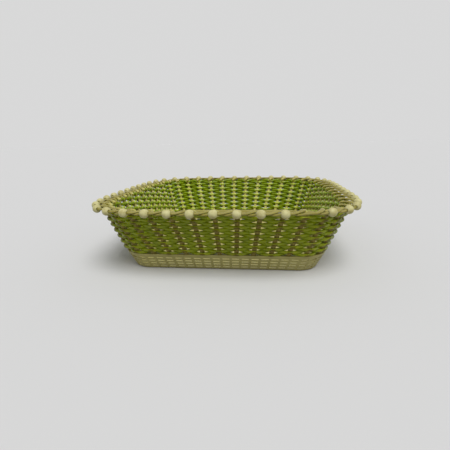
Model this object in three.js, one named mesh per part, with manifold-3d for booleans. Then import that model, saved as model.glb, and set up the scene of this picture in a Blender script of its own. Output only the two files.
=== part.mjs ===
// Woven plastic basket.
// A moulded tray carries a ring of upright stakes in sockets. One long weaver goes in and out
// round the stakes and makes the flared wall. Above the wall each stake bends over to the right,
// carries a bead over the next stake, crosses over the wall's top edge behind the one after
// that, and ends inside the basket. Millimetres, +Z up, the tray's underside at z = 0.

import * as THREE from 'three';
import { mergeVertices } from 'three/addons/utils/BufferGeometryUtils.js';
import Module from 'manifold-3d';

const wasm = await Module();
wasm.setup();

// Driving dimensions of the tray
const TRAY_HALF_X = 104.5;
const TRAY_HALF_Y = 115.6;
const TRAY_HEIGHT = 17.6;
const TRAY_SPLAY = 9.5;
const TRAY_CORNER_RADIUS = 29;
const TRAY_WALL = 1.9;
const TRAY_FLOOR = 2;
const RAIL_WIDTH = 7;
const RAIL_BEVEL = 0.4;
const SOCKET_DEPTH = 2;
const SOCKET_FLOOR = 1.5;
const FOOT_CHAMFER = 0.8;

// Driving dimensions of the slots in the tray's side, which stand in level rows and in columns
const SLOT_ROW_COUNT = 4;
const SLOT_LENGTH = 7;
const SLOT_HEIGHT = 1.4;
const SLOT_SPACING = 9.5;
const SLOT_ROW_PITCH = 3.3;
const TOP_SLOT_DROP = 4.6;

// Driving dimensions of the stakes, the woven wall and the beads
const STAKE_COUNT = 49;
const STAKE_DIAMETER = 4.6;
const STAKE_INSET = 3;
const STRAND_DIAMETER = 3.4;
const STRAND_PRESS = 0.7;
const WEAVER_DIAMETER = 3.5;
const WEAVER_ROW_COUNT = 15;
const WALL_HEIGHT = 46.9;
const WALL_FLARE = 26.4;
const TOP_ROW_SHARE = 0.8;
const TOP_ROW_SLANT = 0.35;
const RIM_SQUARENESS = 4.3;
const BEAD_DIAMETER = 8;
const BEAD_OUT = 8.1;
const BEAD_RISE = 0.5;
const FIT_GAP = 0.3;

// The first stake stands a little to the left of the middle of the front side, in stake spacings
const FIRST_STAKE = -0.07;
// One bead is missing from the front of the border: its stake runs on plain
const PLAIN_STAKE = 4;
// The weaver starts outside this stake, at the back, where each turn ends and the next begins
const WEAVER_START = 30;

// Fineness of the faceted shapes
const STAKE_SIDES = 5;
const BEAD_SIDES = 8;
const BEAD_LATITUDES = [-40, 0, 40];
const CORNER_STEP_COUNT = 6;

// Sizes that follow from the driving dimensions
const stakeRadius = STAKE_DIAMETER / 2;
const strandRadius = STRAND_DIAMETER / 2;
const beadRadius = BEAD_DIAMETER / 2;
const channelRadius = stakeRadius + FIT_GAP / Math.cos(Math.PI / STAKE_SIDES);
const wallBottomHeight = TRAY_HEIGHT + FIT_GAP;
const wallTopHeight = wallBottomHeight + WALL_HEIGHT;
const railUnderside = TRAY_HEIGHT - SOCKET_DEPTH - SOCKET_FLOOR;
const wallSwell = stakeRadius + WEAVER_DIAMETER;
const wallValley = channelRadius + WEAVER_DIAMETER / 4;
const wallWaist = WEAVER_DIAMETER / 2;
const beadHeight = wallTopHeight + BEAD_RISE;

const TRAY_COLOUR = 0xd9cd9a;
const STAKE_COLOUR = 0xe3d7a6;
const WEAVER_COLOUR = 0x7d9412;

// A rounded rectangle with bowed sides, walked counter-clockwise from the middle of its front side
class BowedOutline extends THREE.Curve {
  constructor(halfX, halfY, squareness) {
    super();
    this.halfX = halfX;
    this.halfY = halfY;
    this.squareness = squareness;
    this.arcLengthDivisions = 1440;
  }

  getPoint(t, target = new THREE.Vector2()) {
    const angle = (t - 0.25) * 2 * Math.PI;
    const alongX = Math.abs(Math.cos(angle) / this.halfX);
    const alongY = Math.abs(Math.sin(angle) / this.halfY);
    const radius = (alongX ** this.squareness + alongY ** this.squareness) ** (-1 / this.squareness);
    return target.set(radius * Math.cos(angle), radius * Math.sin(angle));
  }
}

// The tray's outline, moved inwards: straight sides and round corners, walked the same way
function trayOutline(inset) {
  const halfX = TRAY_HALF_X - inset;
  const halfY = TRAY_HALF_Y - inset;
  const radius = TRAY_CORNER_RADIUS - inset;
  const quarter = Math.PI / 2;
  const outline = new THREE.Path();
  outline.moveTo(0, -halfY);
  outline.lineTo(halfX - radius, -halfY);
  outline.absarc(halfX - radius, radius - halfY, radius, -quarter, 0);
  outline.lineTo(halfX, halfY - radius);
  outline.absarc(halfX - radius, halfY - radius, radius, 0, quarter);
  outline.lineTo(radius - halfX, halfY);
  outline.absarc(radius - halfX, halfY - radius, radius, quarter, 2 * quarter);
  outline.lineTo(-halfX, radius - halfY);
  outline.absarc(radius - halfX, radius - halfY, radius, 2 * quarter, 3 * quarter);
  outline.lineTo(0, -halfY);
  return outline;
}

function rimOutline(outwards) {
  const reach = WALL_FLARE - STAKE_INSET + outwards;
  return new BowedOutline(TRAY_HALF_X + reach, TRAY_HALF_Y + reach, RIM_SQUARENESS);
}

// The lines on which the stakes' feet and the beads are evenly spaced
const footLine = trayOutline(STAKE_INSET);
const beadLine = rimOutline(BEAD_OUT);

// The point a fraction of the way round an outline, moved outwards from it, at a height
function placeOn(outline, fraction, outwards, height) {
  const along = fraction - Math.floor(fraction);
  const point = outline.getPointAt(along);
  const tangent = outline.getTangentAt(along);
  return new THREE.Vector3(point.x + tangent.y * outwards, point.y - tangent.x * outwards, height);
}

function stakeFraction(position) {
  return (position + FIRST_STAKE) / STAKE_COUNT;
}

// Solids from closed meshes, and back
function solidFrom(geometry) {
  const bare = geometry.clone();
  bare.deleteAttribute('normal');
  bare.deleteAttribute('uv');
  const merged = mergeVertices(bare, 1e-4);
  const vertProperties = new Float32Array(merged.attributes.position.array);
  const triVerts = new Uint32Array(merged.index.array);
  return new wasm.Manifold(new wasm.Mesh({ numProp: 3, vertProperties, triVerts }));
}

function geometryFrom(solid) {
  const mesh = solid.getMesh();
  const geometry = new THREE.BufferGeometry();
  geometry.setAttribute('position', new THREE.BufferAttribute(mesh.vertProperties, 3));
  geometry.setIndex(new THREE.BufferAttribute(mesh.triVerts, 1));
  geometry.computeVertexNormals();
  return geometry;
}

function middleOf(ring) {
  return ring.reduce((sum, { point }) => sum.add(point), new THREE.Vector3()).divideScalar(ring.length);
}

// A closed skin over rings of points. Each point has a station, its share of the way round its
// ring, by which neighbouring rings are joined, however many points each has. The skin has a cap
// at both ends, unless its last ring leads back to the first.
function skin(rings, isLoop = false) {
  const starts = rings.map((ring, index) => rings.slice(0, index).flat().length);
  const total = rings.flat().length;
  const triangles = [];
  const joined = isLoop ? rings.length : rings.length - 1;
  for (let lower = 0; lower < joined; lower += 1) {
    const upper = (lower + 1) % rings.length;
    const indexOf = (which, at) => starts[which] + (at % rings[which].length);
    const nextStation = (which, at) => (
      at === rings[which].length ? Infinity : rings[which][at + 1]?.station ?? 1
    );
    let i = 0;
    let j = 0;
    while (i < rings[lower].length || j < rings[upper].length) {
      const moveLower = nextStation(lower, i) <= nextStation(upper, j);
      const onward = moveLower ? indexOf(lower, i + 1) : indexOf(upper, j + 1);
      triangles.push(indexOf(lower, i), onward, indexOf(upper, j));
      i += moveLower ? 1 : 0;
      j += moveLower ? 0 : 1;
    }
  }
  const points = rings.flat().map(({ point }) => point);
  if (!isLoop) {
    points.push(middleOf(rings[0]), middleOf(rings.at(-1)));
    rings[0].forEach((_, i, { length }) => triangles.push((i + 1) % length, i, total));
    const top = starts.at(-1);
    rings.at(-1).forEach((_, i, { length }) => triangles.push(top + i, top + ((i + 1) % length), total + 1));
  }
  const geometry = new THREE.BufferGeometry();
  geometry.setAttribute('position', new THREE.Float32BufferAttribute(points.flatMap((p) => p.toArray()), 3));
  geometry.setIndex(triangles);
  return geometry;
}

// A path of straight stretches, with the same share of the whole for each
class CornerPath extends THREE.Curve {
  constructor(corners) {
    super();
    this.corners = corners;
  }

  getPoint(t, target = new THREE.Vector3()) {
    const scaled = Math.min(Math.max(t, 0), 1) * (this.corners.length - 1);
    const index = Math.min(Math.floor(scaled), this.corners.length - 2);
    return target.lerpVectors(this.corners[index], this.corners[index + 1], scaled - index);
  }

  getUtoTmapping(u) {
    return u;
  }
}

// A cord with a many-sided section at each corner, which may be pressed flat to a share of its height
function cord(sections) {
  const path = new CornerPath(sections.map(({ corner }) => corner));
  const { normals, binormals } = path.computeFrenetFrames(sections.length - 1);
  return skin(sections.map(({ corner, radius, press = 1, sides = STAKE_SIDES }, index) => (
    Array.from({ length: sides }, (_, side) => {
      const angle = (side / sides) * 2 * Math.PI;
      const offset = new THREE.Vector3()
        .addScaledVector(normals[index], radius * Math.cos(angle))
        .addScaledVector(binormals[index], radius * Math.sin(angle));
      offset.z *= press;
      return { station: side / sides, point: offset.add(corner) };
    })
  )));
}

// A point near the wall's top edge, a distance out from the line of stakes
function onBorder(position, outwards, height) {
  return placeOn(beadLine, stakeFraction(position), outwards - BEAD_OUT, height);
}

// A point a distance out from the straight line of a stake, at a height
function onWall(position, outwards, height) {
  const foot = placeOn(footLine, stakeFraction(position), outwards, TRAY_HEIGHT);
  const top = onBorder(position, outwards, wallTopHeight);
  return foot.lerp(top, (height - TRAY_HEIGHT) / (wallTopHeight - TRAY_HEIGHT)).setZ(height);
}

// The straight round hole for one stake
function stakeChannel(index, bottom, top) {
  const ends = [bottom, top].map((height) => onWall(index, 0, height));
  return solidFrom(cord(ends.map((corner) => ({ corner, radius: channelRadius }))));
}

// How far the tray's side has drawn in at a height
function insetOfSide(height) {
  return TRAY_SPLAY * (1 - height / TRAY_HEIGHT);
}

function trayRing(inset, height) {
  const arcs = trayOutline(inset).curves.filter((curve) => curve.isEllipseCurve);
  const points = arcs.flatMap((arc) => arc.getPoints(CORNER_STEP_COUNT));
  return points.map((point, i) => ({
    station: i / points.length,
    point: new THREE.Vector3(point.x, point.y, height),
  }));
}

// All the slots that go through the tray's side
function sideSlots() {
  const columns = Math.round(footLine.getLength() / SLOT_SPACING);
  const reach = TRAY_WALL * 2 + SLOT_HEIGHT;
  const slots = [];
  for (let row = 0; row < SLOT_ROW_COUNT; row += 1) {
    const height = TRAY_HEIGHT - TOP_SLOT_DROP - row * SLOT_ROW_PITCH;
    const middleOfWall = trayOutline(insetOfSide(height) + TRAY_WALL / 2);
    for (let column = 0; column < columns; column += 1) {
      const along = (column + 0.5) / columns;
      const tangent = middleOfWall.getTangentAt(along);
      const slot = new THREE.BoxGeometry(SLOT_LENGTH, reach, SLOT_HEIGHT);
      slot.rotateZ(tangent.angle());
      slot.translate(...placeOn(middleOfWall, along, 0, height));
      slots.push(solidFrom(slot));
    }
  }
  return wasm.Manifold.union(slots);
}

// The tray: a floor, a splayed side with its slots, and a rail with one socket for each stake
function baseTray() {
  const body = solidFrom(skin([
    trayRing(TRAY_SPLAY + FOOT_CHAMFER, 0),
    trayRing(insetOfSide(FOOT_CHAMFER), FOOT_CHAMFER),
    trayRing(0, TRAY_HEIGHT),
  ]));
  const hollow = solidFrom(skin([
    trayRing(insetOfSide(TRAY_FLOOR) + TRAY_WALL, TRAY_FLOOR),
    trayRing(insetOfSide(railUnderside - RAIL_BEVEL) + TRAY_WALL, railUnderside - RAIL_BEVEL),
    trayRing(RAIL_WIDTH, railUnderside),
    trayRing(RAIL_WIDTH, TRAY_HEIGHT + FIT_GAP),
  ]));
  let tray = body.subtract(hollow).subtract(sideSlots());
  for (let i = 0; i < STAKE_COUNT; i += 1) {
    tray = tray.subtract(stakeChannel(i, TRAY_HEIGHT - SOCKET_DEPTH, TRAY_HEIGHT + STAKE_DIAMETER));
  }
  return geometryFrom(tray);
}

// How far a face of the wall stands out in a row: the weaver passes outside every second stake and
// inside the others, one stake on in each row, and half way between two stakes all its rows cross.
function standOut(position, row, side) {
  if (!Number.isInteger(position)) {
    return side * wallWaist;
  }
  const travelled = (position - WEAVER_START + STAKE_COUNT) % STAKE_COUNT;
  const isOutside = (travelled + row) % 2 === 0;
  return side * (isOutside === side > 0 ? wallSwell : wallValley);
}

// A point of the wall's outer or inner face. Level 0 is the bottom edge, each level above it the
// middle of a row, and the last one the top edge with the top row, higher inside than outside.
function wallPoint(position, level, side) {
  if (level === 0) {
    const out = side * (Number.isInteger(position) ? wallValley : wallWaist);
    return onWall(position, out, wallBottomHeight);
  }
  const out = standOut(position, level - 1, side);
  if (level === WEAVER_ROW_COUNT) {
    return onWall(position, out * TOP_ROW_SHARE, wallTopHeight - out * TOP_ROW_SHARE * TOP_ROW_SLANT);
  }
  return onWall(position, out, wallBottomHeight + ((level - 0.5) / WEAVER_ROW_COUNT) * WALL_HEIGHT);
}

// The wall: the weave's rows as ridges round the stakes, up the inner face and down the outer
function wovenWall() {
  const levels = Array.from({ length: WEAVER_ROW_COUNT + 1 }, (_, level) => level);
  const rings = Array.from({ length: STAKE_COUNT * 2 }, (_, i) => {
    const position = i / 2;
    const kept = levels.filter((level) => (
      Number.isInteger(position) || level % 2 === 0 || level === WEAVER_ROW_COUNT
    ));
    const stationOf = (rise) => rise / (2 * levels.length);
    const up = kept.map((level) => ({ station: stationOf(level), point: wallPoint(position, level, -1) }));
    const down = kept.toReversed().map((level) => ({
      station: stationOf(2 * levels.length - 1 - level),
      point: wallPoint(position, level, 1),
    }));
    return [...up, ...down];
  });
  let wall = solidFrom(skin(rings, true));
  for (let i = 0; i < STAKE_COUNT; i += 1) {
    wall = wall.subtract(stakeChannel(i, TRAY_HEIGHT - STAKE_DIAMETER, wallTopHeight + 2 * STAKE_DIAMETER));
  }
  return geometryFrom(wall);
}

// The route of one stake above the wall, as spacings to the right, distance out from the line of
// stakes, height, and how flat the cord is pressed. It lies on the wall's top edge, dips under the
// stake before it, carries its bead, crosses over the stake after it and turns down inside the wall.
const crossLow = wallTopHeight - 0.7;
const crossHigh = crossLow + STRAND_DIAMETER * STRAND_PRESS + 2.4 * FIT_GAP;
const BORDER_ROUTE = [
  [0.09, 0.7, wallTopHeight + 2.2, STRAND_PRESS],
  [0.28, 3.7, wallTopHeight + 0.5, STRAND_PRESS],
  [0.50, 6.6, crossLow, STRAND_PRESS],
  [0.78, 7.8, crossLow, 0.85],
  [1.00, BEAD_OUT, beadHeight, 1],
  [1.26, 8.1, crossHigh - 0.6, 0.85],
  [1.50, 6.4, crossHigh + 0.2, STRAND_PRESS],
  [1.66, 2.6, crossHigh + 0.4, STRAND_PRESS],
  [1.82, -2.8, crossHigh + 1.1, STRAND_PRESS],
  [2.06, -8.2, wallTopHeight + 1.2, STRAND_PRESS],
];

// The sections of a round bead on the cord, between the two where the cord goes into it
function beadSections(centre, direction) {
  const mouth = THREE.MathUtils.radToDeg(Math.acos(strandRadius / beadRadius));
  return [-mouth, ...BEAD_LATITUDES, mouth].map((latitude) => {
    const angle = THREE.MathUtils.degToRad(latitude);
    return {
      corner: centre.clone().addScaledVector(direction, beadRadius * Math.sin(angle)),
      radius: beadRadius * Math.cos(angle),
      sides: Math.abs(latitude) === mouth ? STAKE_SIDES : BEAD_SIDES,
    };
  });
}

// A stake, with the bead that is threaded on it
function stake(index, hasBead) {
  const foot = onWall(index, 0, TRAY_HEIGHT - SOCKET_DEPTH + FIT_GAP);
  const neck = onWall(index, 0, wallTopHeight + 3 * FIT_GAP);
  const route = BORDER_ROUTE.map(([along, outwards, height, press]) => (
    { corner: onBorder(index + along, outwards, height), radius: strandRadius, press }
  ));
  if (hasBead) {
    const beadAt = BORDER_ROUTE.findIndex(([along]) => along === 1);
    const [before, middle, after] = route.slice(beadAt - 1, beadAt + 2).map(({ corner }) => corner);
    const direction = after.clone().sub(before).normalize();
    route.splice(beadAt, 1, ...beadSections(middle, direction));
  }
  return cord([{ corner: foot, radius: stakeRadius }, { corner: neck, radius: stakeRadius }, ...route]);
}

const basket = new THREE.Group();

function addPiece(name, geometry, color, roughness) {
  const material = new THREE.MeshStandardMaterial({ color, roughness, metalness: 0, flatShading: true });
  const mesh = new THREE.Mesh(geometry, material);
  mesh.name = name;
  basket.add(mesh);
}

addPiece('base_tray', baseTray(), TRAY_COLOUR, 0.5);
addPiece('woven_wall', wovenWall(), WEAVER_COLOUR, 0.35);
for (let i = 0; i < STAKE_COUNT; i += 1) {
  const number = String(i + 1).padStart(2, '0');
  const hasBead = i + 1 !== PLAIN_STAKE;
  addPiece(`${hasBead ? 'beaded' : 'plain'}_stake_${number}`, stake(i, hasBead), STAKE_COLOUR, 0.45);
}

export default basket;
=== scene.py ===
# %% [markdown]
# # A woven plastic basket with a beaded border
# The basket is a moulded tray, a ring of upright stakes that stand in it, one very long
# weaver that goes in and out round the stakes, and a round bead on the bent end of every
# stake but one.
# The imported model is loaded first. It fixes the sizes, and each new piece is built in the same
# millimetres, along the same few lines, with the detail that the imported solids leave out.

import bisect
import math
import random

import bpy
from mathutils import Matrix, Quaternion, Vector


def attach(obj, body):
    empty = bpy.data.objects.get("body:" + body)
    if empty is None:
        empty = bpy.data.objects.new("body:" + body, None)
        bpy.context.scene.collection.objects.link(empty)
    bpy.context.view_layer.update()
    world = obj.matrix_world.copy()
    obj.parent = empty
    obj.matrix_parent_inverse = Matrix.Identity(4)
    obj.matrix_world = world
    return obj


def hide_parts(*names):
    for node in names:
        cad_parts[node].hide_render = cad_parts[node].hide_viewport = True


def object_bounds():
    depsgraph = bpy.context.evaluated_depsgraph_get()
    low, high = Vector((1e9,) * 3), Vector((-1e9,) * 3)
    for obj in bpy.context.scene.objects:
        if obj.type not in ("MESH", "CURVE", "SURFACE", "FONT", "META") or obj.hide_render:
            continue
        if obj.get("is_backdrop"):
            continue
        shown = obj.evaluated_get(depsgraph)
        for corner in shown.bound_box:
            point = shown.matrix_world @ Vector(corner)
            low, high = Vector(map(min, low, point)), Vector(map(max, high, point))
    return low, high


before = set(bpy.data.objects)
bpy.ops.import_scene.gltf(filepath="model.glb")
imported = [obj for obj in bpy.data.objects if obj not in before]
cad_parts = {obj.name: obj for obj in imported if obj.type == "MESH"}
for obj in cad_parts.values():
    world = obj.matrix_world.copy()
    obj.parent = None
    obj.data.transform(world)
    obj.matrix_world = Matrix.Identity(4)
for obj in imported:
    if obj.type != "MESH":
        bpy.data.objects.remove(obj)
cad_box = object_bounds()
MM = 0.001
print("CAD nodes", len(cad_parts), "box in mm",
      [[round(value / MM, 1) for value in corner] for corner in cad_box])

# %% [markdown]
# ## Sizes
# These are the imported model's sizes, to a tenth of a millimetre, so that every piece made here
# lies where its solid does. Only the tray's wall differs: it is a little thinner than the
# packed one, because its slots then look as open as the real ones.

# %% Sizes of the real basket, in millimetres
TRAY_HALF_X, TRAY_HALF_Y = 104.5, 115.6
TRAY_HEIGHT, TRAY_SPLAY, TRAY_CORNER = 17.6, 9.5, 29.0
TRAY_WALL, RAIL_WIDTH, RAIL_DEPTH = 1.5, 7.0, 3.5
STAKE_COUNT, STAKE_RADIUS, STAKE_INSET = 49, 2.3, 3.0
WEAVER_RADIUS, ROW_COUNT = 1.75, 15
RIM_HALF_X, RIM_HALF_Y, RIM_SQUARENESS = 136.0, 147.0, 4.3
WALL_BOTTOM, WALL_TOP = 17.9, 64.8
BEAD_RADIUS, BEAD_OUT, BEAD_HEIGHT = 4.0, 8.1, 65.3
FIRST_STAKE, PLAIN_STAKE = -0.07, 4
print("stakes", STAKE_COUNT, "beads", STAKE_COUNT - 1)

# %% [markdown]
# ## Lines to build on
# Tray, wall and border all follow closed lines round the basket. The tray's line has straight
# sides and round corners, and the rim's line bows outwards, as cord does when it is pulled
# round a frame. A small class walks such a line by length, so that the stakes come out evenly
# spaced, and steps outwards from it, so that a cord can pass in front of or behind a stake.


# %% A closed line that is walked by length
class Ring:
    def __init__(self, points):
        self.points = points
        count = len(points)
        self.lengths = [0.0]
        self.outward = []
        for i, point in enumerate(points):
            after, before = points[(i + 1) % count], points[i - 1]
            self.lengths.append(self.lengths[-1] + (after - point).length)
            along = (after - before).normalized()
            self.outward.append(Vector((along.y, -along.x)))

    def at(self, share, outwards=0.0):
        target = (share % 1.0) * self.lengths[-1]
        i = bisect.bisect_right(self.lengths, target) - 1
        part = (target - self.lengths[i]) / (self.lengths[i + 1] - self.lengths[i])
        after = (i + 1) % len(self.points)
        point = self.points[i].lerp(self.points[after], part)
        return point + self.outward[i].lerp(self.outward[after], part) * outwards


def tray_ring(inset, steps=40):
    half_x, half_y, radius = TRAY_HALF_X - inset, TRAY_HALF_Y - inset, TRAY_CORNER - inset
    points = [Vector((0, -half_y))]
    for corner, (side_x, side_y) in enumerate([(1, -1), (1, 1), (-1, 1), (-1, -1)]):
        centre = Vector((side_x * (half_x - radius), side_y * (half_y - radius)))
        for step in range(steps + 1):
            angle = math.radians(90 * (corner - 1 + step / steps))
            points.append(centre + radius * Vector((math.cos(angle), math.sin(angle))))
    return Ring(points)


def rim_ring(steps=1440):
    points = []
    for step in range(steps):
        angle = (step / steps - 0.25) * 2 * math.pi
        reach = (abs(math.cos(angle) / RIM_HALF_X) ** RIM_SQUARENESS
                 + abs(math.sin(angle) / RIM_HALF_Y) ** RIM_SQUARENESS) ** (-1 / RIM_SQUARENESS)
        points.append(Vector((reach * math.cos(angle), reach * math.sin(angle))))
    return Ring(points)


# %% The two lines that all else is measured from
FOOT_RING, BEAD_RING = tray_ring(STAKE_INSET), rim_ring()
print("round the foot", round(FOOT_RING.lengths[-1]),
      "mm, round the beads", round(BEAD_RING.lengths[-1]), "mm")


# %% Places on the wall and on the border
def share_of(position):
    return (position + FIRST_STAKE) / STAKE_COUNT


def on_wall(position, outwards, height):
    foot = FOOT_RING.at(share_of(position), outwards)
    top = BEAD_RING.at(share_of(position), outwards - BEAD_OUT)
    point = foot.lerp(top, (height - TRAY_HEIGHT) / (WALL_TOP - TRAY_HEIGHT))
    return Vector((point.x, point.y, height)) * MM


def on_border(position, outwards, height):
    point = BEAD_RING.at(share_of(position), outwards - BEAD_OUT)
    return Vector((point.x, point.y, height)) * MM


lean = on_wall(0, 0, WALL_TOP) - on_wall(0, 0, WALL_BOTTOM)
print("the front wall leans", round(math.degrees(math.atan2(-lean.y, lean.z))), "degrees outwards")


# %% Small helpers for working on one piece at a time
def work_on(piece):
    bpy.ops.object.select_all(action="DESELECT")
    piece.select_set(True)
    bpy.context.view_layer.objects.active = piece


def apply_modifiers(piece):
    work_on(piece)
    for modifier in list(piece.modifiers):
        bpy.ops.object.modifier_apply(modifier=modifier.name)


def triangles_of(piece):
    return sum(len(face.vertices) - 2 for face in piece.data.polygons)


# %% [markdown]
# ## The tray
# The real tray is one injection moulding: a thin splayed side pierced by four rows of small
# slots, under a flat rail. It could be carved out of a block, but a thin moulding is really a
# sheet. So a grid is wrapped round into the tray's skin, with grid lines where the slots'
# edges come, the slots' faces are deleted, and Solidify gives the sheet its wall. The inner
# skin is then let down a little so that the slots run level through the leaning side, and a
# small bevel rounds each edge, as a mould does.

# %% The levels of the tray's skin
SLOT_ROWS, SLOT_COLUMNS, COLUMN_LINES = 4, 85, 3
SLOT_LENGTH, SLOT_HEIGHT, SLOT_ROW_PITCH, TOP_SLOT_HEIGHT = 7.0, 1.4, 3.3, 13.0
SLOT_MIDDLES = [TOP_SLOT_HEIGHT - SLOT_ROW_PITCH * row for row in range(SLOT_ROWS)]
FOOT_CHAMFER, UNDER_RAIL = 0.8, 15.6


def inset_of_side(height):
    return TRAY_SPLAY * (1 - height / TRAY_HEIGHT)


# The skin from the foot's edge up the side, over the rail and down its inner lip: height, inset
skin_levels = [(0.0, TRAY_SPLAY + FOOT_CHAMFER), (FOOT_CHAMFER, inset_of_side(FOOT_CHAMFER))]
for middle in reversed(SLOT_MIDDLES):
    for height in (middle - SLOT_HEIGHT / 2, middle + SLOT_HEIGHT / 2):
        skin_levels.append((height, inset_of_side(height)))
skin_levels += [(UNDER_RAIL, inset_of_side(UNDER_RAIL)), (TRAY_HEIGHT, 0.0),
                (TRAY_HEIGHT, RAIL_WIDTH / 2), (TRAY_HEIGHT, RAIL_WIDTH),
                (TRAY_HEIGHT - RAIL_DEPTH, RAIL_WIDTH)]
skin_rings = [(height, tray_ring(inset)) for height, inset in skin_levels]
print("levels at", [round(height, 1) for height, _ in skin_levels], "mm")

# %% Add the grid and bring its points on to the rings
TOUCHING = 0.01 * MM
GRID_LINES = SLOT_COLUMNS * COLUMN_LINES
bpy.ops.object.select_all(action="DESELECT")
bpy.ops.mesh.primitive_grid_add(x_subdivisions=GRID_LINES, y_subdivisions=len(skin_rings) - 1, size=2)
tray = bpy.context.object
tray.name = "slotted_tray"
slot_part = SLOT_LENGTH / (FOOT_RING.lengths[-1] / SLOT_COLUMNS)
line_places = [0.5 - slot_part / 2, 0.5, 0.5 + slot_part / 2]
for vertex in tray.data.vertices:
    line = round((vertex.co.x + 1) / 2 * GRID_LINES) % GRID_LINES
    level = round((vertex.co.y + 1) / 2 * (len(skin_rings) - 1))
    height, ring = skin_rings[level]
    column, part = divmod(line, COLUMN_LINES)
    place = ring.at((column + line_places[part]) / SLOT_COLUMNS)
    vertex.co = Vector((place.x, place.y, height)) * MM
print("skin", len(tray.data.vertices), "vertices on", len(skin_rings), "levels")

# %% Close the seam and find the slots' faces
work_on(tray)
bpy.ops.object.mode_set(mode="EDIT")
bpy.ops.mesh.select_mode(type="VERT")
bpy.ops.mesh.select_all(action="SELECT")
bpy.ops.mesh.remove_doubles(threshold=TOUCHING)
bpy.ops.mesh.select_mode(type="FACE")
bpy.ops.mesh.select_all(action="DESELECT")
bpy.ops.object.mode_set(mode="OBJECT")
print("closed skin", len(tray.data.vertices), "vertices")


# Two faces side by side make a slot, and a shorter one lies between two slots
def in_slot(face):
    if not any(abs(face.center.z / MM - middle) < SLOT_HEIGHT / 2 for middle in SLOT_MIDDLES):
        return False
    ends = [[tray.data.vertices[i].co for i in pair] for pair in face.edge_keys]
    level_edges = [(a - b).length / MM for a, b in ends if abs(a.z - b.z) < TOUCHING]
    return min(level_edges) > 0.4 * SLOT_LENGTH


for face in tray.data.polygons:
    face.select = in_slot(face)
print("slot faces", sum(face.select for face in tray.data.polygons))

# %% Open the slots and fill the floor
FLOOR_INSET = 3.0
bpy.ops.object.mode_set(mode="EDIT")
bpy.ops.mesh.delete(type="FACE")
bpy.ops.mesh.select_mode(type="VERT")
bpy.ops.mesh.select_all(action="DESELECT")
bpy.ops.object.mode_set(mode="OBJECT")
for vertex in tray.data.vertices:
    vertex.select = vertex.co.z < TOUCHING
bpy.ops.object.mode_set(mode="EDIT")
bpy.ops.mesh.edge_face_add()
bpy.ops.mesh.inset(thickness=FLOOR_INSET * MM)
bpy.ops.mesh.select_all(action="SELECT")
bpy.ops.mesh.normals_make_consistent(inside=False)
bpy.ops.object.mode_set(mode="OBJECT")
print("open skin", len(tray.data.polygons), "faces")

# %% Give the skin its wall and round its edges
EDGE_ROUNDING, SLOTTED_FROM, SLOTTED_TO = 0.25, 2.5, 15.4
outer_count = len(tray.data.vertices)
wall = tray.modifiers.new("wall", "SOLIDIFY")
wall.thickness = TRAY_WALL * MM
wall.offset = -1
wall.use_even_offset = True
apply_modifiers(tray)

# Solidify goes square through the leaning side. A mould makes level slots, so the inner skin of
# the side is lowered to its outer skin's heights
side_drop = TRAY_WALL * TRAY_SPLAY / math.hypot(TRAY_SPLAY, TRAY_HEIGHT)
for vertex in list(tray.data.vertices)[outer_count:]:
    if SLOTTED_FROM < vertex.co.z / MM < SLOTTED_TO:
        vertex.co.z -= side_drop * MM
edges = tray.modifiers.new("edges", "BEVEL")
edges.width = EDGE_ROUNDING * MM
edges.segments = 2
edges.limit_method = "ANGLE"
edges.angle_limit = math.radians(40)
apply_modifiers(tray)
bpy.ops.object.shade_smooth_by_angle(angle=math.radians(35))
print("tray", triangles_of(tray), "triangles")

# %% [markdown]
# ## The weaver
# One plastic cord goes in front of one stake and behind the next, fifteen times round. Since
# the number of stakes is odd, each round passes on the other side of a stake from the round
# below it, and the rows alternate by themselves. A row of separate rings would be simpler,
# but the real one is a single cord, so it is one curve: its points come from a formula. A wave
# between a cosine and a zigzag gives the in and out, as a stiff cord bends round a stake and
# runs straight to the next, and three spacings at the back carry it up to the next row. Pulled
# tight, it is pressed flatter where it passes a stake, so the tube's rings are squeezed there.

# %% The weaver's line
ROW_PITCH = (WALL_TOP - WALL_BOTTOM) / ROW_COUNT
SAMPLES, STEP_UP, WEAVER_START = 8, 3, 30
# The cord's thickness through the wall and its height, as shares, pressed on a stake and free
PRESSED_THICK, PRESSED_TALL, FREE_THICK, FREE_TALL = 0.6, 0.91, 0.95, 1.04
WEAVER_SWING = STAKE_RADIUS + WEAVER_RADIUS * PRESSED_THICK
SWING_DROP, SLACK, BEND = 0.1, 0.12, 0.93
TOP_ROW_DROP, TOP_ROW_DIP, TOP_ROW_ONSET = 0.1, 1.2, 8
dice = random.Random(7)


def limited(value):
    return min(1.0, max(0.0, value))


def weaver_height(travelled):
    row, part = divmod(travelled, STAKE_COUNT)
    climb = max(0.0, (part - (STAKE_COUNT - STEP_UP)) / STEP_UP)
    level = row + climb * climb * (3 - 2 * climb)
    return WALL_BOTTOM + ROW_PITCH * (0.5 + min(max(level, 0.0), ROW_COUNT - 1.0))


def weaver_swing(travelled):
    return math.asin(BEND * math.cos(math.pi * travelled)) / math.asin(BEND)


# The border presses the top row down, most of all where it passes a stake
def top_row_press(travelled, swing):
    into_top_row = limited((travelled / STAKE_COUNT - ROW_COUNT + 1) * TOP_ROW_ONSET)
    return into_top_row * (TOP_ROW_DROP + TOP_ROW_DIP * abs(swing))


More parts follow.
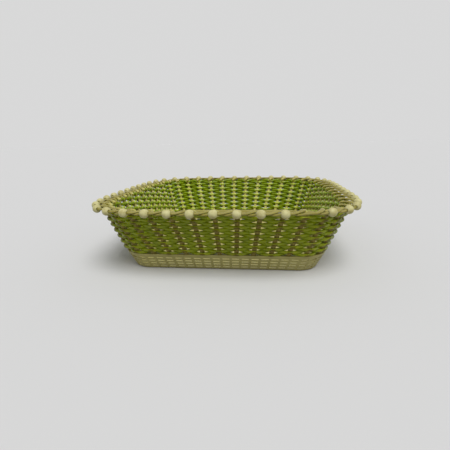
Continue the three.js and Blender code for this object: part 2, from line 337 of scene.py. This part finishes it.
# %% Walk the weaver's line
# The wall leans out, so the cord lies a little lower outside the stakes than inside them
spacings = ROW_COUNT * STAKE_COUNT
loose = [dice.uniform(-1, 1) for _ in range(spacings + STEP_UP + 2)]
weaver_points = []
wall_faces = []
swings = []
for sample in range((spacings + STEP_UP) * SAMPLES + 1):
    travelled = sample / SAMPLES - STEP_UP
    whole, part = divmod(sample / SAMPLES, 1)
    slack = loose[int(whole)] * (1 - part) + loose[int(whole) + 1] * part
    swing = weaver_swing(travelled)
    height = (weaver_height(travelled) - WEAVER_SWING * swing * SWING_DROP
              - top_row_press(travelled, swing) + SLACK * slack)
    position, outwards = WEAVER_START + travelled, WEAVER_SWING * swing
    place = on_wall(position, outwards, height)
    weaver_points.append(place)
    up_the_wall = (on_wall(position, outwards, height + 1) - place).normalized()
    outward = (on_wall(position, outwards + 1, height) - place).normalized()
    wall_faces.append((outward - up_the_wall * outward.dot(up_the_wall)).normalized())
    swings.append(swing)
length = sum((b - a).length for a, b in zip(weaver_points, weaver_points[1:]))
print("weaver", len(weaver_points), "points,", round(length, 1), "m of cord")


# %% Make a cord along a line, as a tube of rings
def new_curve(name):
    bpy.ops.object.select_all(action="DESELECT")
    bpy.ops.curve.primitive_nurbs_path_add()
    cord = bpy.context.object
    cord.name = name
    cord.data.splines.clear()
    cord.data.twist_mode = "Z_UP"
    cord.data.use_fill_caps = True
    return cord


def round_off(cord, radius, sides):
    cord.data.bevel_depth = radius * MM
    cord.data.bevel_resolution = sides // 2 - 2
    work_on(cord)
    bpy.ops.object.convert(target="MESH")
    return bpy.context.object


# %% Find a tube's rings, and close its caps
# A tube made from a curve lists its end cap, its start cap, and then its rings from the start
def rings_of(cord, sides):
    count = len(cord.data.vertices) // sides - 2
    rings = [list(range((ring + 2) * sides, (ring + 3) * sides)) for ring in range(count)]
    rings[-1] += range(sides)
    rings[0] += range(sides, 2 * sides)
    return rings


def close_and_smooth(cord):
    work_on(cord)
    bpy.ops.object.mode_set(mode="EDIT")
    bpy.ops.mesh.select_all(action="SELECT")
    bpy.ops.mesh.remove_doubles(threshold=0.001 * MM)
    bpy.ops.mesh.normals_make_consistent(inside=False)
    bpy.ops.object.mode_set(mode="OBJECT")
    bpy.ops.object.shade_smooth_by_angle(angle=math.radians(60))


# %% Make the weaver as a tube
WEAVER_SIDES = 12
weaver = new_curve("weaver")
line = weaver.data.splines.new("POLY")
line.points.add(len(weaver_points) - 1)
for point, place in zip(line.points, weaver_points):
    point.co = (*place, 1)
weaver = round_off(weaver, WEAVER_RADIUS, WEAVER_SIDES)
print("tube", len(weaver.data.vertices), "vertices")


# %% Press it flat on the stakes, and mark where each point lies and which way it faces
# 1 where the cord passes outside a stake and the point faces out, 0 where it passes inside one, and 0.5
# between the stakes. The face that lies on the stake comes nearer to 0.5. The finish turns this mark into
# painted light and shade: pale over a lit stake inside, brown over a shaded stake outside
def painted_light_and_shade_of(swing, facing):
    turned = 0.5 + 0.55 * facing if swing > 0 else 1.0 - 0.5 * facing
    return 0.5 + 0.5 * swing * limited(turned)


for name in ("outside", "faces_out"):
    weaver.data.attributes.new(name, "FLOAT", "POINT")
outside, faces_out = (weaver.data.attributes[name] for name in ("outside", "faces_out"))
for ring, middle, face, swing in zip(rings_of(weaver, WEAVER_SIDES), weaver_points, wall_faces, swings):
    thick = FREE_THICK - (FREE_THICK - PRESSED_THICK) * swing * swing
    tall = FREE_TALL - (FREE_TALL - PRESSED_TALL) * swing * swing
    for i in ring:
        offset = weaver.data.vertices[i].co - middle
        through = face * offset.dot(face)
        weaver.data.vertices[i].co = middle + through * thick + (offset - through) * tall
        facing = offset.dot(face) / (WEAVER_RADIUS * MM)
        # This mark drives the painted light and shade over the stakes
        outside.data[i].value = painted_light_and_shade_of(swing, facing)
        # Painted shade: this mark darkens the side of the cord that faces into the basket
        faces_out.data[i].value = 0.5 + 0.5 * facing
close_and_smooth(weaver)
print("weaver", triangles_of(weaver), "triangles")

# %% [markdown]
# ## The stakes and their border
# Each stake stands in the tray, runs up inside the wall, and bends over to the right above it.
# There it slips under the stake before it, carries its bead if it has one, crosses over the
# stake after it, and ends inside the basket. A smooth curve with automatic handles bends as
# cord does. Cord is soft, so where two of them cross each one is pressed flatter, which a plain
# tube can't show: the tube's rings are squeezed there after the curve has become a mesh.

# %% The route of one stake above the wall
# Spacings to the right, outwards, height, and the tube's height and width as shares of its own
BORDER_ROUTE = [
    (0.06, 0.4, 64.6, 0.80, 1.00),
    (0.20, 1.6, 64.9, 0.50, 1.00),
    (0.36, 3.2, 64.5, 0.44, 1.00),
    (0.50, 4.8, 64.0, 0.44, 0.98),
    (0.66, 6.4, 64.2, 0.48, 0.84),
    (0.82, 7.6, 64.9, 0.56, 0.58),
    (1.00, BEAD_OUT, BEAD_HEIGHT, 0.52, 0.52),
    (1.18, 8.0, 65.3, 0.56, 0.58),
    (1.34, 6.7, 65.4, 0.46, 0.84),
    (1.50, 4.8, 65.8, 0.40, 0.98),
    (1.64, 2.4, 66.1, 0.40, 1.00),
    (1.76, -0.1, 66.1, 0.42, 1.00),
    (1.88, -3.2, 65.8, 0.48, 0.95),
    (2.00, -6.2, 65.0, 0.62, 0.80),
    (2.10, -7.6, 63.6, 0.70, 0.72),
]
STRAIGHT_HEIGHTS = [15.8, 40.0, 58.0, 63.4]
BEAD_POINT = 6
CURVE_STEPS, STAKE_SIDES = 4, 12


def route_place(index, point):
    along, outwards, height = BORDER_ROUTE[point][:3]
    return on_border(index + along, outwards, height)


def stake_places(index):
    places = [(on_wall(index, 0, height), 1.0, 1.0) for height in STRAIGHT_HEIGHTS]
    for point, (_, _, _, tall, wide) in enumerate(BORDER_ROUTE):
        places.append((route_place(index, point), tall, wide))
    return places


print("a stake's route has", len(stake_places(0)), "points")

# %% Press a stake flat where it crosses others, and mark where shade is painted on it
# The points of the route between which the stake has the wall's or the border's painted shade, and how
# sharply the painted shade on its outer side ends
WALL_SHADE_TO, BORDER_SHADE_FROM, BORDER_SHADE_TO, SIDE_SHARPNESS = 4, 3.5, 17, 1.5


# The mark is 0 on the outer side in the wall, 0.5 on the inner side there, and 1 in the border. The
# finish paints shade from it: browner on the outer side in the wall, darker in the border
def press_flat(cord, places, outward):
    rings = rings_of(cord, STAKE_SIDES)
    mark = cord.data.attributes.new("painted_shade_on_stake", "FLOAT", "POINT")
    for number, ring in enumerate(rings):
        point = number / CURVE_STEPS
        whole, part = divmod(point, 1)
        in_border = limited(min(point - BORDER_SHADE_FROM, BORDER_SHADE_TO - point))
        in_wall = limited(WALL_SHADE_TO - point)
        _, tall, wide = places[int(whole)]
        _, next_tall, next_wide = places[min(int(whole) + 1, len(places) - 1)]
        tall += (next_tall - tall) * part
        wide += (next_wide - wide) * part
        middle = sum((cord.data.vertices[i].co for i in ring), Vector()) / len(ring)
        for i in ring:
            out = cord.data.vertices[i].co - middle
            cord.data.vertices[i].co = middle + Vector((out.x * wide, out.y * wide, out.z * tall))
            faces_out = limited(SIDE_SHARPNESS * out.dot(outward) / (STAKE_RADIUS * MM))
            mark.data[i].value = 0.5 + 0.5 * in_border - 0.5 * faces_out * in_wall


# %% Make all the stakes
stakes = []
stake_lengths = []
for index in range(STAKE_COUNT):
    places = stake_places(index)
    stake_lengths.append(sum((b[0] - a[0]).length for a, b in zip(places, places[1:])))
    cord = new_curve("stake_%02d" % (index + 1))
    line = cord.data.splines.new("BEZIER")
    line.resolution_u = CURVE_STEPS
    line.bezier_points.add(len(places) - 1)
    for point, (place, _, _) in zip(line.bezier_points, places):
        point.co = place
        point.handle_left_type = point.handle_right_type = "AUTO"
    cord = round_off(cord, STAKE_RADIUS, STAKE_SIDES)
    press_flat(cord, places, (on_wall(index, 1, 40) - on_wall(index, 0, 40)).normalized())
    close_and_smooth(cord)
    stakes.append(cord)
print("stakes", len(stakes), "of", triangles_of(stakes[0]), "triangles, each",
      round(min(stake_lengths) / MM), "to", round(max(stake_lengths) / MM), "mm long,",
      round(sum(stake_lengths), 2), "m in all")

# %% [markdown]
# ## The beads
# A round bead with a drilled hole is threaded on every stake but one at the front. A ball with
# its two poles opened into a rounded hole shows that it is threaded, where a plain ball would
# look glued on. It is modelled once, with the hole along z, then copied to each place and
# turned along the cord.

# %% Model one bead
HOLE_RADIUS, HOLE_MARGIN, HOLE_ROUNDING = 1.3, 0.3, 0.35
OPENED_HALF_HEIGHT = 3.7
bpy.ops.object.select_all(action="DESELECT")
bpy.ops.mesh.primitive_uv_sphere_add(segments=24, ring_count=16, radius=BEAD_RADIUS * MM)
bead = bpy.context.object
bead.name = "bead"
bpy.ops.object.mode_set(mode="EDIT")
bpy.ops.mesh.select_mode(type="VERT")
bpy.ops.mesh.select_all(action="DESELECT")
bpy.ops.object.mode_set(mode="OBJECT")
for vertex in bead.data.vertices:
    vertex.select = math.hypot(vertex.co.x, vertex.co.y) < (HOLE_RADIUS - HOLE_MARGIN) * MM
bpy.ops.object.mode_set(mode="EDIT")
bpy.ops.mesh.delete(type="VERT")
bpy.ops.mesh.select_all(action="SELECT")
bpy.ops.mesh.region_to_loop()
bpy.ops.mesh.bridge_edge_loops()
bpy.ops.object.mode_set(mode="OBJECT")
print("opened bead", len(bead.data.polygons), "faces")

# %% Bring the hole to its size, and the ball back to its height
for vertex in bead.data.vertices:
    out = math.hypot(vertex.co.x, vertex.co.y) / MM
    if out < HOLE_RADIUS + HOLE_MARGIN:
        vertex.co.x *= HOLE_RADIUS / out
        vertex.co.y *= HOLE_RADIUS / out
    vertex.co.z *= BEAD_RADIUS / OPENED_HALF_HEIGHT
rounding = bead.modifiers.new("rounding", "BEVEL")
rounding.width = HOLE_ROUNDING * MM
rounding.segments = 3
rounding.limit_method = "ANGLE"
rounding.angle_limit = math.radians(40)
apply_modifiers(bead)
bpy.ops.object.mode_set(mode="EDIT")
bpy.ops.mesh.select_all(action="SELECT")
bpy.ops.mesh.normals_make_consistent(inside=False)
bpy.ops.object.mode_set(mode="OBJECT")
bpy.ops.object.shade_smooth_by_angle(angle=math.radians(60))
print("bead", triangles_of(bead), "triangles, hole", 2 * HOLE_RADIUS, "mm")

# %% Thread a copy on every stake but one
beads = []
for index in range(STAKE_COUNT):
    if index + 1 == PLAIN_STAKE:
        continue
    place = route_place(index, BEAD_POINT)
    ahead = route_place(index, BEAD_POINT + 1) - route_place(index, BEAD_POINT - 1)
    turn = ahead.to_track_quat("Z", "Y") @ Quaternion((0, 0, 1), dice.uniform(0, math.tau))
    copy = bead.copy()
    copy.data = bead.data.copy()
    copy.name = "bead_%02d" % (index + 1)
    bpy.context.collection.objects.link(copy)
    size = 1 + dice.uniform(0.0, 0.03)
    for vertex in copy.data.vertices:
        vertex.co = place + turn @ (vertex.co * size)
    beads.append(copy)
bpy.data.objects.remove(bead)
print("beads", len(beads))

# %% [markdown]
# ## Finishes
# All the plastic here is plain stuff: a clear glossy cord with colour in it, satin cream cord,
# matt cream beads and a satin moulding. What makes it look real is how it varies. Each finish
# is one Principled shader whose colour, roughness and bump are varied by noise that reads
# Object coordinates. The pieces share one frame, so the noise runs on from piece to piece.
# A clear cord also takes its look from what lies behind it: over a stake it is pale inside the basket,
# where the stake is lit, and brown outside, where it is in shade. Glass cords would show that too, but
# slowly and with much noise, so this light and shade is painted into the cords' colour from marks on
# their points.

# %% Noise of one size, a ramp of colours, and a mix of two colours
def noise(tree, size, detail):
    place = tree.nodes.new("ShaderNodeTexCoord")
    texture = tree.nodes.new("ShaderNodeTexNoise")
    texture.inputs["Scale"].default_value = 1 / (size * MM)
    texture.inputs["Detail"].default_value = detail
    tree.links.new(place.outputs["Object"], texture.inputs["Vector"])
    return texture.outputs["Fac"]


def ramp_of(tree, value, stops):
    ramp = tree.nodes.new("ShaderNodeValToRGB")
    while len(ramp.color_ramp.elements) < len(stops):
        ramp.color_ramp.elements.new(0.5)
    for element, (position, colour) in zip(ramp.color_ramp.elements, stops):
        element.position = position
        element.color = (*colour, 1)
    tree.links.new(value, ramp.inputs["Fac"])
    return ramp.outputs["Color"]


def colour_mix(tree):
    mix = tree.nodes.new("ShaderNodeMix")
    mix.data_type = "RGBA"
    first, second = (socket for socket in mix.inputs if socket.type == "RGBA")
    mixed = next(socket for socket in mix.outputs if socket.type == "RGBA")
    return mix, first, second, mixed


# %% A finish that varies as plastic does
PATCH_FROM, PATCH_TO, RELIEF_DEPTH = 0.35, 0.65, 0.2


def finish(name, colours, patch, roughness, grain, bump):
    material = bpy.data.materials.new(name)
    material.use_nodes = True
    tree = material.node_tree
    shader = tree.nodes["Principled BSDF"]
    patches = noise(tree, patch, 3)
    tint = ramp_of(tree, patches, list(zip((PATCH_FROM, PATCH_TO), colours)))
    tree.links.new(tint, shader.inputs["Base Color"])
    gloss = tree.nodes.new("ShaderNodeMapRange")
    gloss.inputs["To Min"].default_value, gloss.inputs["To Max"].default_value = roughness
    tree.links.new(patches, gloss.inputs["Value"])
    tree.links.new(gloss.outputs["Result"], shader.inputs["Roughness"])
    relief = tree.nodes.new("ShaderNodeBump")
    relief.inputs["Strength"].default_value = bump
    relief.inputs["Distance"].default_value = RELIEF_DEPTH * MM
    tree.links.new(noise(tree, grain, 4), relief.inputs["Height"])
    tree.links.new(relief.outputs["Normal"], shader.inputs["Normal"])
    return material, shader


# %% Painted light and shade that follow a mark on the piece's points
def paint_light_and_shade_by_mark(material, shader, name, stops):
    tree = material.node_tree
    own = tree.nodes.new("ShaderNodeAttribute")
    own.attribute_name = name
    mix, first, second, mixed = colour_mix(tree)
    mix.blend_type = "MULTIPLY"
    mix.inputs["Factor"].default_value = 1.0
    tree.links.new(ramp_of(tree, own.outputs["Fac"], stops), first)
    tree.links.new(shader.inputs["Base Color"].links[0].from_socket, second)
    tree.links.new(mixed, shader.inputs["Base Color"])


# %% Give a piece its finish, its body and what it stands for
def dress(piece, material, slot, *nodes):
    piece.data.materials.clear()
    piece.data.materials.append(material)
    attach(piece, "root")
    if nodes:
        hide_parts(*nodes)


# %% The weaver's finish
# Painted light and shade: pale over the lit inside of a stake, green between the stakes, and a painted
# brown shade over a stake's shaded outside. The side of the cord that faces into the basket is painted a
# little darker, as shade
weaver_finish, shader = finish("weaver_cord", [(0.82, 0.82, 0.82), (1.0, 1.0, 1.0)], 14,
                               (0.16, 0.30), 1.2, 0.15)
paint_light_and_shade_by_mark(weaver_finish, shader, "outside", [
    (0.07, (0.66, 0.70, 0.18)), (0.15, (0.30, 0.39, 0.012)),
    (0.87, (0.34, 0.39, 0.006)), (0.95, (0.17, 0.14, 0.004))])
# Painted shade on the side of the cord that faces into the basket
paint_light_and_shade_by_mark(weaver_finish, shader, "faces_out", [(0.30, (0.76, 0.83, 0.5)), (0.60, (1.0, 1.0, 1.0))])
shader.inputs["Subsurface Weight"].default_value = 0.8
shader.inputs["Subsurface Radius"].default_value = (1.0, 1.0, 0.15)
shader.inputs["Subsurface Scale"].default_value = 4 * MM
shader.inputs["Specular IOR Level"].default_value = 0.2
print("weaver's finish has", len(weaver_finish.node_tree.nodes), "nodes")

# %% The other finishes
# The stakes are painted browner on their outer side in the wall, where they are in shade, and a little
# darker in the border, as painted shade from the cords and beads there
stake_finish, shader = finish("stake_cord", [(0.46, 0.42, 0.11), (0.54, 0.50, 0.16)], 18,
                              (0.38, 0.52), 0.8, 0.2)
paint_light_and_shade_by_mark(stake_finish, shader, "painted_shade_on_stake", [
    (0.0, (0.55, 0.46, 0.28)), (0.5, (1.0, 1.0, 1.0)), (1.0, (0.60, 0.57, 0.42))])
shader.inputs["Subsurface Weight"].default_value = 0.5
shader.inputs["Subsurface Radius"].default_value = (1.0, 0.9, 0.5)
shader.inputs["Subsurface Scale"].default_value = 2 * MM
shader.inputs["Specular IOR Level"].default_value = 0.3
bead_finish, shader = finish("bead", [(0.49, 0.44, 0.17), (0.66, 0.62, 0.30)], 4,
                             (0.45, 0.62), 0.9, 0.35)
tray_finish, shader = finish("tray_plastic", [(0.44, 0.39, 0.12), (0.49, 0.44, 0.145)], 30,
                             (0.36, 0.5), 1.0, 0.15)
print("finishes", [material.name for material in (weaver_finish, stake_finish, bead_finish, tray_finish)])

# %% Dress every piece
dress(weaver, weaver_finish, "weaver_cord", "woven_wall")
dress(tray, tray_finish, "tray_plastic", "base_tray")
for index, cord in enumerate(stakes):
    kind = "plain" if index + 1 == PLAIN_STAKE else "beaded"
    dress(cord, stake_finish, "stake_cord", "%s_stake_%02d" % (kind, index + 1))
for copy in beads:
    dress(copy, bead_finish, "stake_cord")
print("pieces", 2 + len(stakes) + len(beads))

# %% [markdown]
# ## The studio
# The basket stands on a wide pale floor that meets an equally pale sky, so no edge shows behind
# it. In the photo the light falls softly from high above, a little from the front and the
# right: the beads' tops are bright, and the wall's outer face, which leans out over its own
# foot, is in its own shade. A sun with a wide angle lights the floor evenly and gives a soft
# shadow, where a lamp near the basket would leave a bright pool. A weak sky fills the shadows.

# %% A pale floor
FLOOR_SIZE, FLOOR_GAP = 60, 0.2 * MM
bpy.ops.object.select_all(action="DESELECT")
bpy.ops.mesh.primitive_grid_add(x_subdivisions=8, y_subdivisions=8, size=FLOOR_SIZE,
                                location=(0, 0, -FLOOR_GAP))
floor = bpy.context.object
floor.name = "floor"
floor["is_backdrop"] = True
print("floor", FLOOR_SIZE, "m wide")


# %% A colour that differs by the kind of ray that asks
def mixed_by_ray(tree, first_colour, second_colour, outputs):
    ray = tree.nodes.new("ShaderNodeLightPath")
    share = ray.outputs[outputs[0]]
    for output in outputs[1:]:
        either = tree.nodes.new("ShaderNodeMath")
        either.operation = "MAXIMUM"
        tree.links.new(share, either.inputs[0])
        tree.links.new(ray.outputs[output], either.inputs[1])
        share = either.outputs["Value"]
    mix, first, second, mixed = colour_mix(tree)
    first.default_value = (*[first_colour] * 3, 1)
    second.default_value = (*[second_colour] * 3, 1)
    tree.links.new(share, mix.inputs["Factor"])
    return mixed


# %% The floor is pale to the eye, and throws a little less light back up
FLOOR_COLOUR, BOUNCE_COLOUR = 0.72, 0.42
floor_finish = bpy.data.materials.new("floor")
floor_finish.use_nodes = True
floor_tree = floor_finish.node_tree
floor_shader = floor_tree.nodes["Principled BSDF"]
floor_shader.inputs["Roughness"].default_value = 0.9
floor_shader.inputs["Specular IOR Level"].default_value = 0.1
floor_tree.links.new(mixed_by_ray(floor_tree, FLOOR_COLOUR, BOUNCE_COLOUR, ["Is Diffuse Ray"]),
                     floor_shader.inputs["Base Color"])
floor.data.materials.append(floor_finish)
print("floor", FLOOR_COLOUR, "to the eye,", BOUNCE_COLOUR, "as it bounces light")

# %% A soft sun and a sky
SUN_STRENGTH, SUN_WIDTH, SUN_DIRECTION = 2.2, 40, Vector((0.20, -0.42, 0.88))
SKY_SEEN, SKY_LIGHT = 0.69, 0.33
bpy.ops.object.light_add(type="SUN", location=(0.3, -0.6, 1.5))
sun = bpy.context.object
sun.name = "soft_sun"
sun.data.energy = SUN_STRENGTH
sun.data.angle = math.radians(SUN_WIDTH)
sun.rotation_euler = SUN_DIRECTION.to_track_quat("Z", "Y").to_euler()

world = bpy.context.scene.world or bpy.data.worlds.new("sky")
bpy.context.scene.world = world
world.use_nodes = True
sky = world.node_tree
seen = mixed_by_ray(sky, SKY_LIGHT, SKY_SEEN, ["Is Camera Ray", "Is Glossy Ray", "Is Transmission Ray"])
sky.links.new(seen, sky.nodes["Background"].inputs["Color"])
bpy.context.scene.view_settings.view_transform = "Standard"
print("sun", SUN_STRENGTH, "sky", SKY_LIGHT, "seen as", SKY_SEEN)

# %% [markdown]
# ## The camera
# The photo's camera was worked out from the 48 beads, the tray's outline and the stakes: it
# stands a little to the right of the middle, 43 cm in front and 12.5 cm up, looks slightly
# down and to the left, and is turned by about a degree.

# %% Camera
CAMERA_LENS, CAMERA_SENSOR, CAMERA_ROLL = 27.14, 36, -0.021
CAMERA_PLACE = Vector((42.6, -427.0, 125.0)) * MM
CAMERA_AIM = Vector((-0.1163, 0.9644, -0.2377))
camera_data = bpy.data.cameras.new("camera")
camera_data.lens = CAMERA_LENS
camera_data.sensor_width = CAMERA_SENSOR
camera = bpy.data.objects.new("camera", camera_data)
bpy.context.collection.objects.link(camera)
camera.location = CAMERA_PLACE
camera.rotation_mode = "QUATERNION"
camera.rotation_quaternion = CAMERA_AIM.to_track_quat("-Z", "Y") @ Quaternion((0, 0, 1), CAMERA_ROLL)
camera_data.clip_start = 0.01
bpy.context.scene.camera = camera
print("camera", round(CAMERA_PLACE.length, 3), "m from the middle of the basket's foot")

# %% [markdown]
# ## Sizes, and the end
# Both boxes are written down, the packed model's and the dressed one's, to be compared.

# %% Write both boxes and finish
shown_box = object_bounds()
for name, corners in (("packed", cad_box), ("shown", shown_box)):
    print(name, [[round(value / MM, 2) for value in corner] for corner in corners])
